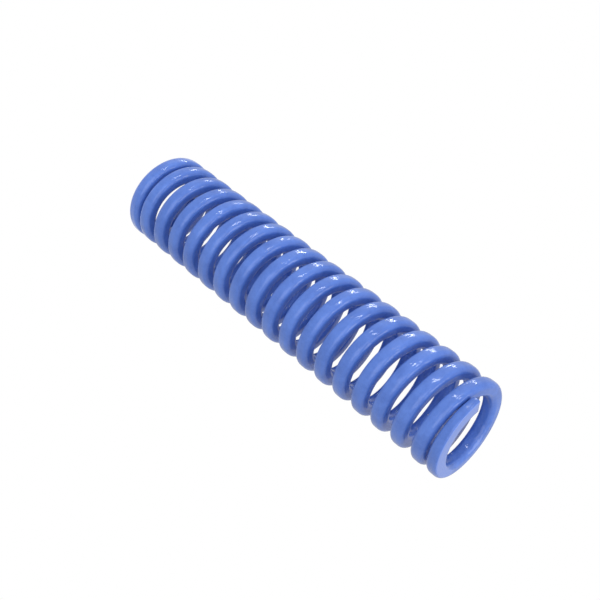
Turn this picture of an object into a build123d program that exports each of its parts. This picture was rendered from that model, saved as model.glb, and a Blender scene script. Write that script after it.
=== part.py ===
from build123d import *
from math import cos, pi, sin
import os

# A helical compression spring of the die spring kind: one length of rounded square wire, wound
# left-hand, both ends closed and ground flat. Its axis is Z. It stands on its lower ground face,
# and the origin is the middle of that face, with the wire's lower tip towards +X.

# Coil, in millimetres
outside_diameter = 19.8     # a running fit in a 20 mm hole
free_length = 89.0          # between the two ground faces
total_turns = 18.8          # from tip to tip, dead turns included
left_hand = True            # which way the coil is wound

# Wire section
wire_radial = 3.0           # from the bore side to the outside
wire_axial = 3.1            # along the spring
wire_corner = 1.1           # radius of the section's four corners

# Ends: each is wound closed for a while, then opens to the active pitch
closed_gap = 0.06           # left between a closed turn and its neighbour
lower_closed_turns = 0.9
lower_opening_turns = 0.8
upper_closed_turns = 0.8
upper_opening_turns = 0.3
lower_tip_rise = -0.35      # of the wire's middle above the ground face, at the tip
upper_tip_drop = 0.3        # of the wire's middle below the ground face, at the tip

opening_steps = 6           # even helices that stand for one opening stretch

# Worked out from the sizes above
coil_radius = (outside_diameter - wire_radial) / 2
closed_pitch = wire_axial + closed_gap
closed_turns = lower_closed_turns + upper_closed_turns
opening_turns = lower_opening_turns + upper_opening_turns
active_turns = total_turns - closed_turns - opening_turns
wound_height = free_length - lower_tip_rise - upper_tip_drop
active_pitch = (wound_height - closed_pitch * (closed_turns + opening_turns / 2)) / (
    active_turns + opening_turns / 2
)
winding = -1 if left_hand else 1


def winding_plan():
    """The coil as stretches of even pitch, lower tip first: turns and pitch of each."""
    opening = []
    for step in range(opening_steps):
        share = (step + 0.5) / opening_steps
        opening.append(closed_pitch + (active_pitch - closed_pitch) * share)
    plan = [(lower_closed_turns, closed_pitch)]
    plan += [(lower_opening_turns / opening_steps, pitch) for pitch in opening]
    plan += [(active_turns, active_pitch)]
    plan += [(upper_opening_turns / opening_steps, pitch) for pitch in reversed(opening)]
    plan += [(upper_closed_turns, closed_pitch)]
    return plan


def wire_path():
    """The wire's middle line: one true helix for each stretch, each starting where one ends."""
    path = []
    turns_done = 0.0
    height = lower_tip_rise
    for turns, pitch in winding_plan():
        helix = Helix(pitch, pitch * turns, coil_radius, lefthand=left_hand)
        path.append(Pos(0, 0, height) * Rot(0, 0, winding * 360 * turns_done) * helix)
        turns_done += turns
        height += pitch * turns
    return path


def wire_section():
    """The wire's section at the lower tip, upright in the plane through the spring's axis."""
    tip = Plane(origin=(coil_radius, 0, lower_tip_rise), x_dir=(1, 0, 0), z_dir=(0, winding, 0))
    return tip * RectangleRounded(wire_radial, wire_axial, wire_corner)


def coil_spring():
    """The wound wire, with both ends ground off square to the axis."""
    wound = sweep(wire_section(), path=wire_path(), is_frenet=True)
    lower_ground = split(wound, bisect_by=Plane.XY, keep=Keep.TOP)
    return split(lower_ground, bisect_by=Plane.XY.offset(free_length), keep=Keep.BOTTOM)


os.makedirs("parts", exist_ok=True)
spring = coil_spring()
export_step(spring, "parts/coil_spring.step")
print("active pitch", round(active_pitch, 3), "mm, volume", round(spring.volume, 1), "mm3")
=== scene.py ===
import bpy
import numpy as np
from mathutils import Matrix, Vector


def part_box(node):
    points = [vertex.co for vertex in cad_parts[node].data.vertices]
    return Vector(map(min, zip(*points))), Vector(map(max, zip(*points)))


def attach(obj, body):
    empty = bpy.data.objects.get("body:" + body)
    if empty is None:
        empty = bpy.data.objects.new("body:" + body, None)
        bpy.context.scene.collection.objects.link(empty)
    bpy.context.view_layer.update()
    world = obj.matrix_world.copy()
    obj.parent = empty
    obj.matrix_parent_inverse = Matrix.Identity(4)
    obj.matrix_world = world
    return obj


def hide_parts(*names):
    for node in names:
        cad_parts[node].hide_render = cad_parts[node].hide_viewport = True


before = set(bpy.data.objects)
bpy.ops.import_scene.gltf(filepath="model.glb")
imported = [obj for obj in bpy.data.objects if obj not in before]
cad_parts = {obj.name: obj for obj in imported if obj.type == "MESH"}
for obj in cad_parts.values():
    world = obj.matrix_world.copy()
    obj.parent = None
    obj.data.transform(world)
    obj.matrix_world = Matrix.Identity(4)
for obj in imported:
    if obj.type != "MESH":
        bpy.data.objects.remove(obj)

print("stage: frame loaded")
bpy.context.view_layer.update()  # the CAD model's own box, in metres
mm = 0.001
white = (1, 1, 1, 1)


# An sRGB hex colour as linear RGBA: low values are divided by 12.92, the rest follow the 2.4 power curve.
def linear(hexColour):
    parts = [int(hexColour[i:i + 2], 16) / 255 for i in (1, 3, 5)]
    return [p / 12.92 if p <= 0.04045 else ((p + 0.055) / 1.055) ** 2.4 for p in parts] + [1.0]


# Adds a node, sets its properties and inputs by name, and links its inputs to other sockets.
def addNode(tree, kind, settings=None, links=None):
    made = tree.nodes.new(kind)
    for name, value in (settings or {}).items():
        if name in made.inputs:
            made.inputs[name].default_value = value
        else:
            setattr(made, name, value)
    for name, source in (links or {}).items():
        tree.links.new(source, made.inputs[name])
    return made


# A new material and its empty node tree.
def newMaterial(name):
    material = bpy.data.materials.new(name)
    material.use_nodes = True
    material.node_tree.nodes.clear()
    return material, material.node_tree


# The wound wire. Lengths are in millimetres, and each end's stretches are in turns from its own tip.
coil = {
    "turns": 18.8,  # from tip to tip
    "winding": -1,  # -1 is left-hand, 1 is right-hand
    "radial": 3.0,  # the wire, from the bore side to the outside
    "axial": 3.1,  # and along the spring
    "corner": 1.1,  # radius of the wire's corners
    "closedGap": 0.02,  # what the coat leaves open between two closed turns
    "lowerClosed": 0.9,
    "lowerOpening": 0.8,
    "upperClosed": 0.8,
    "upperOpening": 0.3,
    "lowerTipRise": -0.35,  # the wire's middle at the lower tip, above the lower ground face
    "upperTipDrop": 0.3,  # and at the upper tip, below the upper ground face
    "pitchSteps": 20000,  # steps in which the pitch is summed
    "softEdge": 0.14,  # the coat rounds the ground and sheared edges by this much
    "edgeReach": 0.2,  # how far down the wire's side a ground edge is spread
    "tipDrawIn": 0.8,  # share of the soft edge by which the last ring at a tip is drawn in
    "activeRings": 64,  # sections in a turn of the open coils
    "endRings": 130,  # and in a turn of the closed ends
    "endTurns": 1.6,  # how much of each end gets the closer sections
    "chordSteps": 6,  # steps across the wire's flat top or bottom
    "edgeSteps": 4,  # round one edge
    "sideSteps": 14,  # down one side
    "grainStretch": 5.0,  # the coat's ripple is this much longer along the drawn wire than across it
}


# Height of the wire's middle at each of these turns. The pitch is the closed one at both ends, opens in a
# straight ramp, and is even between. The height is the running sum of the pitch, and the even pitch is the
# one that puts the upper tip at its stated depth.
def wireHeights(turns, height):
    closed = coil["axial"] + coil["closedGap"]
    fine = np.linspace(0, coil["turns"], coil["pitchSteps"] + 1)
    fromLower = (fine - coil["lowerClosed"]) / coil["lowerOpening"]
    fromUpper = (coil["turns"] - fine - coil["upperClosed"]) / coil["upperOpening"]
    openness = np.clip(np.minimum(fromLower, fromUpper), 0, 1)
    summed = np.concatenate([[0], np.cumsum((openness[1:] + openness[:-1]) / 2 * np.diff(fine))])
    wound = height - coil["lowerTipRise"] - coil["upperTipDrop"]
    active = closed + (wound - closed * coil["turns"]) / summed[-1]
    heights = coil["lowerTipRise"] + closed * fine + (active - closed) * summed
    return np.interp(turns, fine, heights)


# The turns at which a section is laid: close together at the ends, wider over the open coils.
def ringTurns():
    ends = np.linspace(0, coil["endTurns"], int(coil["endTurns"] * coil["endRings"]) + 1)
    middle = coil["turns"] - 2 * coil["endTurns"]
    between = np.linspace(0, middle, int(middle * coil["activeRings"]) + 1)[1:-1] + coil["endTurns"]
    return np.concatenate([ends, between, coil["turns"] - ends[::-1]])


# A point (across, rise) and its outward direction on a rounded side, by arc length from the side's middle.
# Within the straight part the point is (half width, arc length). Past it the point turns round a quarter
# circle of the corner's radius, and the direction turns with it.
def sideAt(along, halfAcross, halfAlong, corner):
    straight = halfAlong - corner
    past = np.maximum(np.abs(along) - straight, 0) / corner
    turned = np.minimum(past, np.pi / 2)
    beyond = (past - turned) * corner  # and on past the corner, along the flat
    sign = np.where(along < 0, -1.0, 1.0)
    across = halfAcross - corner + corner * np.cos(turned) - beyond
    rise = sign * (np.minimum(np.abs(along), straight) + corner * np.sin(turned))
    return across, rise, np.cos(turned), sign * np.sin(turned)


# The arc length from the side's middle at which the side reaches this rise: the rise itself on the straight
# part, and the corner's radius times the arcsine of the rest past it.
def arcTo(rise, halfAlong, corner):
    straight = halfAlong - corner
    over = np.clip((np.abs(rise) - straight) / corner, 0, 1)
    arc = np.where(np.abs(rise) > straight, straight + corner * np.arcsin(over), np.abs(rise))
    return np.where(rise < 0, -1.0, 1.0) * arc


# Even shares of one stretch of the outline, from its start up to the point before its end.
def evenShares(steps):
    return np.arange(steps)[None, :] / steps


# Each section's outline as (across, rise) about the wire's middle, one row for each ring. The section is a
# rounded square less what lies below the lower ground face or above the upper one. It is first drawn smaller
# by the soft edge, then every point is pushed out along its direction by that much, and round the ground
# edges the direction swings from the flat's to the side's. So the flats stay flat and their edges are round.
def wireSections(middles, height):
    soft = coil["softEdge"]
    halfAlong = coil["axial"] / 2 - soft
    corner = coil["corner"] - soft
    rounded = (coil["radial"] / 2 - soft, halfAlong, corner)
    low = np.maximum(-halfAlong, soft - middles)[:, None]
    high = np.minimum(halfAlong, height - soft - middles)[:, None]
    arcLow = arcTo(low, halfAlong, corner)
    arcHigh = arcTo(high, halfAlong, corner)
    sideLow = arcLow + coil["edgeReach"]
    sideHigh = arcHigh - coil["edgeReach"]
    stretches = []

    # pushes the points out along their directions, by the soft edge
    def lay(across, rise, outAcross, outRise):
        size = np.hypot(outAcross, outRise)
        stretches.append((across + soft * outAcross / size, rise + soft * outRise / size))

    # round one edge, from the flat's direction to the side's, or back
    def edge(fromArc, toArc, flatRise, mirrored, backwards):
        share = evenShares(coil["edgeSteps"])
        if backwards:
            share = 1 - share
        across, rise = sideAt(fromArc + (toArc - fromArc) * share, *rounded)[:2]
        lastAcross, lastRise = sideAt(toArc, *rounded)[2:]
        lay(mirrored * across, rise, mirrored * lastAcross * share, flatRise + (lastRise - flatRise) * share)

    # along the bore side or the outside
    def side(fromArc, toArc, mirrored):
        arc = fromArc + (toArc - fromArc) * evenShares(coil["sideSteps"])
        across, rise, outAcross, outRise = sideAt(arc, *rounded)
        lay(mirrored * across, rise, mirrored * outAcross, outRise)

    # straight over the top or the bottom
    def flat(arc, level, flatRise, fromSide):
        reach = sideAt(arc, *rounded)[0]
        across = fromSide * reach * (1 - 2 * evenShares(coil["chordSteps"]))
        lay(across, level + 0 * across, 0 * across, flatRise + 0 * across)

    edge(arcLow, sideLow, -1.0, 1, False)
    side(sideLow, sideHigh, 1)
    edge(arcHigh, sideHigh, 1.0, 1, True)
    flat(arcHigh, high, 1.0, 1)
    edge(arcHigh, sideHigh, 1.0, -1, False)
    side(sideHigh, sideLow, -1)
    edge(arcLow, sideLow, -1.0, -1, True)
    flat(arcLow, low, -1.0, -1)
    return np.hstack([s[0] for s in stretches]), np.hstack([s[1] for s in stretches])


# The wire's surface: its section carried along the coil, to a sheared face at each tip. A point is
# (radius + across) out from the axis at the ring's angle, and its height is the middle's plus the rise.
def springMesh(outer, height):
    turns = ringTurns()
    middles = wireHeights(turns, height)
    across, rise = wireSections(middles, height)
    radius = outer - coil["radial"] / 2
    soft = coil["softEdge"]
    # the last ring at each tip is drawn in, so that the sheared edge is rounded too
    for tip, inner, inwards in ((0, 1, 1), (-1, -2, -1)):
        turns[inner] = turns[tip] + inwards * soft / (2 * np.pi * radius)
        middles[inner] = middles[tip]
        across[inner] = across[tip]
        rise[inner] = rise[tip]
        middle = rise[tip].mean()
        across[tip] -= np.clip(across[tip], -soft, soft) * coil["tipDrawIn"]
        rise[tip] -= np.clip(rise[tip] - middle, -soft, soft) * coil["tipDrawIn"]
    angles = coil["winding"] * 2 * np.pi * turns[:, None]
    out = radius + across
    points = np.stack([out * np.cos(angles), out * np.sin(angles), middles[:, None] + rise], -1) * mm

    index = np.arange(across.size).reshape(across.shape)
    a, b = index[:-1], index[1:]
    quads = np.stack([a, np.roll(a, -1, 1), np.roll(b, -1, 1), b], -1).reshape(-1, 4)
    if coil["winding"] > 0:
        quads = quads[:, ::-1]
    drawn = turns[:, None] * 2 * np.pi * radius / coil["grainStretch"] + 0 * across
    return points, quads, np.stack([drawn, across, rise], -1)  # the last is the coat's own place, in mm


# The closed mesh as an object: the wire's surface, and the first and last rings as the two tip faces.
def makeSpring(outer, height):
    points, quads, wirePlace = springMesh(outer, height)
    index = np.arange(points[..., 0].size).reshape(points.shape[:2])
    caps = [index[0, ::-1].tolist(), index[-1].tolist()]
    if coil["winding"] > 0:
        caps = [cap[::-1] for cap in caps]
    mesh = bpy.data.meshes.new("wound_wire")
    mesh.from_pydata(points.reshape(-1, 3), [], quads.tolist() + caps)
    mesh.polygons.foreach_set("use_smooth", [True] * len(quads) + [False] * len(caps))
    grain = mesh.attributes.new("wire_place", "FLOAT_VECTOR", "POINT")
    grain.data.foreach_set("vector", wirePlace.ravel())
    piece = bpy.data.objects.new("wound_wire", mesh)
    bpy.context.scene.collection.objects.link(piece)
    return piece


# The coat. Lengths are in millimetres.
coat = {
    "deep": "#446abe",
    "light": "#557cd2",
    "thin": "#6d8ad8",  # the film on the ground faces
    "cloudSize": 5.0,  # of the soft patches between deep and light
    "cloudDetail": 5.0,
    "cloudRoughness": 0.75,
    "cloudDeep": 0.35,  # where in the noise the deep shade ends
    "cloudLight": 0.65,  # and the light one starts
    "thinFrom": 0.08,  # the thin film starts this far inside the end plane
    "thinFull": 0.01,  # and is full here
    "peelSize": 0.42,  # of the ripple, across the wire
    "peelDetail": 2.0,
    "peelDepth": 0.07,
    "roughness": 0.5,
    "specular": 0.3,
    "gloss": 0.8,
    "glossRoughness": 0.08,
}


# Polyester powder coat, baked on shot-blasted spring steel. The eye gets an even, deep blue with a clear
# gloss, a fine orange peel that breaks up each highlight, and a lighter, thinner film on the ground faces.
def springCoat(height):
    material, tree = newMaterial("powder_coated_spring_steel")
    place = addNode(tree, "ShaderNodeTexCoord").outputs["Object"]
    patches = {
        "Scale": 1 / (coat["cloudSize"] * mm),
        "Detail": coat["cloudDetail"],
        "Roughness": coat["cloudRoughness"],
    }
    cloud = addNode(tree, "ShaderNodeTexNoise", patches, {"Vector": place})
    shade = addNode(tree, "ShaderNodeValToRGB", links={"Fac": cloud.outputs["Fac"]})
    deep, light = shade.color_ramp.elements
    deep.position, deep.color = coat["cloudDeep"], linear(coat["deep"])
    light.position, light.color = coat["cloudLight"], linear(coat["light"])
    # how near a point is to either end plane: only the ground faces lie so near
    up = addNode(tree, "ShaderNodeSeparateXYZ", links={"Vector": place})
    fromMiddle = addNode(tree, "ShaderNodeMath", {"operation": "SUBTRACT"}, {0: up.outputs["Z"]})
    fromMiddle.inputs[1].default_value = height / 2 * mm
    reach = addNode(tree, "ShaderNodeMath", {"operation": "ABSOLUTE"}, {0: fromMiddle.outputs[0]})
    ground = addNode(
        tree,
        "ShaderNodeMapRange",
        {"From Min": (height / 2 - coat["thinFrom"]) * mm, "From Max": (height / 2 - coat["thinFull"]) * mm},
        {"Value": reach.outputs[0]},
    )
    film = addNode(
        tree,
        "ShaderNodeMixRGB",
        {"Color2": linear(coat["thin"])},
        {"Fac": ground.outputs["Result"], "Color1": shade.outputs["Color"]},
    )
    # the ripple follows the wire, by the attribute that the mesh carries in millimetres
    along = addNode(tree, "ShaderNodeAttribute", {"attribute_name": "wire_place"}).outputs["Vector"]
    peel = addNode(
        tree,
        "ShaderNodeTexNoise",
        {"Scale": 1 / coat["peelSize"], "Detail": coat["peelDetail"]},
        {"Vector": along},
    )
    bump = addNode(
        tree,
        "ShaderNodeBump",
        {"Strength": 1.0, "Distance": coat["peelDepth"] * mm},
        {"Height": peel.outputs["Fac"]},
    ).outputs["Normal"]
    finish = {
        "Roughness": coat["roughness"],
        "Specular IOR Level": coat["specular"],
        "Coat Weight": coat["gloss"],
        "Coat Roughness": coat["glossRoughness"],
    }
    surface = {"Base Color": film.outputs["Color"], "Normal": bump, "Coat Normal": bump}
    shader = addNode(tree, "ShaderNodeBsdfPrincipled", finish, surface)
    addNode(tree, "ShaderNodeOutputMaterial", links={"Surface": shader.outputs["BSDF"]})
    return material


low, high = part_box("coil_spring")
outer = (high[0] - low[0]) / 2 / mm
height = (high[2] - low[2]) / mm
spring = makeSpring(outer, height)
spring.data.materials.append(springCoat(height))
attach(spring, "root")
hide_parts("coil_spring")
print("stage: spring wound,", len(spring.data.vertices), "points")

# The round table that the spring stands on, little wider than it, because some of the soft boxes shine
# from below the table's height. Lengths are in millimetres.
table = {
    "radius": 13.0,
    "drop": 0.05,  # it lies this far below the ground face, so that the two don't flicker together
    "rimPoints": 96,
    "colour": "#e6e6e6",
}


# Matte white card. To the eye and in reflections it is plain white, as the room is, and shows no shadow. Its
# own colour only sets the light that it throws back on the spring.
def whitePaper(name):
    material, tree = newMaterial(name)
    ray = addNode(tree, "ShaderNodeLightPath").outputs
    seen = addNode(
        tree,
        "ShaderNodeMath",
        {"operation": "MAXIMUM"},
        {0: ray["Is Camera Ray"], 1: ray["Is Glossy Ray"]},
    )
    sheet = addNode(tree, "ShaderNodeBsdfDiffuse", {"Color": linear(table["colour"])})
    glow = addNode(tree, "ShaderNodeEmission", {"Color": white})
    both = addNode(
        tree,
        "ShaderNodeMixShader",
        links={0: seen.outputs[0], 1: sheet.outputs[0], 2: glow.outputs[0]},
    )
    addNode(tree, "ShaderNodeOutputMaterial", links={"Surface": both.outputs[0]})
    return material


# A flat disc: points of one radius at even angles, joined by one face.
def makeTable():
    angles = np.linspace(0, 2 * np.pi, table["rimPoints"], endpoint=False)
    out = table["radius"]
    rim = np.stack([out * np.cos(angles), out * np.sin(angles), 0 * angles - table["drop"]], -1) * mm
    mesh = bpy.data.meshes.new("floor")
    mesh.from_pydata(rim, [], [range(len(rim))])
    mesh.materials.append(whitePaper("white_paper"))
    disc = bpy.data.objects.new("floor", mesh)
    bpy.context.scene.collection.objects.link(disc)
    return disc


floor = makeTable()

# Where the eye stands, in degrees and in millimetres from the middle of the spring's foot.
view = {
    "azimuth": 105.04,
    "height": 142.54,
    "reach": 168.56,
    "aim": 44.09,  # height of the point on the axis that it looks at
    "roll": 128.0,
    "lens": 58.71,
    "sensor": 36.0,
    "nearest": 5.0,  # nothing closer than this is drawn
}


# The camera looks from the given azimuth and height at a point on the axis, rolled about its line of sight.
def cameraPlace():
    azimuth = np.radians(view["azimuth"])
    eye = Vector((view["reach"] * np.cos(azimuth), view["reach"] * np.sin(azimuth), view["height"])) * mm
    aim = Vector((0, 0, view["aim"] * mm))
    turn = (aim - eye).to_track_quat("-Z", "Y").to_matrix().to_4x4()
    return Matrix.Translation(eye) @ turn @ Matrix.Rotation(np.radians(view["roll"]), 4, "Z")


cameraData = bpy.data.cameras.new("camera")
cameraData.lens = view["lens"]
cameraData.sensor_width = view["sensor"]
cameraData.clip_start = view["nearest"] * mm
camera = bpy.data.objects.new("camera", cameraData)
camera.matrix_world = cameraPlace()
bpy.context.scene.collection.objects.link(camera)
bpy.context.scene.camera = camera

# The soft boxes: direction from the spring as the eye sees it (right, up, back towards the eye), distance
# and size in metres, and power in watts.
lamps = {
    "front_sheet": ((-0.25, -0.1, 0.95), 1.0, (0.9, 0.9), 3.3),
    "end_sheet": ((0.75, -0.35, 0.55), 1.0, (0.7, 0.7), 4.2),
    "far_strip": ((0.30, 0.89, -0.34), 0.8, (0.28, 0.05), 1.1),
    "near_strip": ((0.08, 0.82, 0.56), 0.8, (0.34, 0.05), 1.5),
    "front_box": ((0.34, 0.52, 0.78), 0.8, (0.09, 0.05), 0.3),
}


# A soft box aimed at the spring's middle. Its width lies along the picture's width, so that its reflection
# is a streak along the wire.
def areaLamp(name, fromEye, distance, size, power):
    lampData = bpy.data.lights.new(name, "AREA")
    lampData.shape = "RECTANGLE"
    lampData.size, lampData.size_y = size
    lampData.energy = power
    lamp = bpy.data.objects.new(name, lampData)
    axes = camera.matrix_world.to_3x3()
    back = (axes @ Vector(fromEye)).normalized()
    across = (axes.col[0] - axes.col[0].dot(back) * back).normalized()
    turn = Matrix((across, back.cross(across), back)).transposed().to_4x4()
    middle = Vector((0, 0, height / 2 * mm))
    lamp.matrix_world = Matrix.Translation(middle + back * distance) @ turn
    bpy.context.scene.collection.objects.link(lamp)


for name, lamp in lamps.items():
    areaLamp(name, *lamp)

# The strength of the room's white: what lights the spring, and what the eye sees behind it.
room = {"light": 0.66, "seen": 1.0}


# An even room, seen by the eye as white and lighting the spring as pale grey.
def studioWorld():
    world = bpy.data.worlds.new("studio")
    world.use_nodes = True
    tree = world.node_tree
    tree.nodes.clear()
    ray = addNode(tree, "ShaderNodeLightPath").outputs
    level = addNode(
        tree,
        "ShaderNodeMapRange",
        {"To Min": room["light"], "To Max": room["seen"]},
        {"Value": ray["Is Camera Ray"]},
    )
    sky = addNode(tree, "ShaderNodeBackground", {"Color": white}, {"Strength": level.outputs["Result"]})
    addNode(tree, "ShaderNodeOutputWorld", links={"Surface": sky.outputs["Background"]})
    return world


bpy.context.scene.world = studioWorld()
bpy.context.scene.view_settings.view_transform = "Standard"
print("stage: floor, lamps and camera")
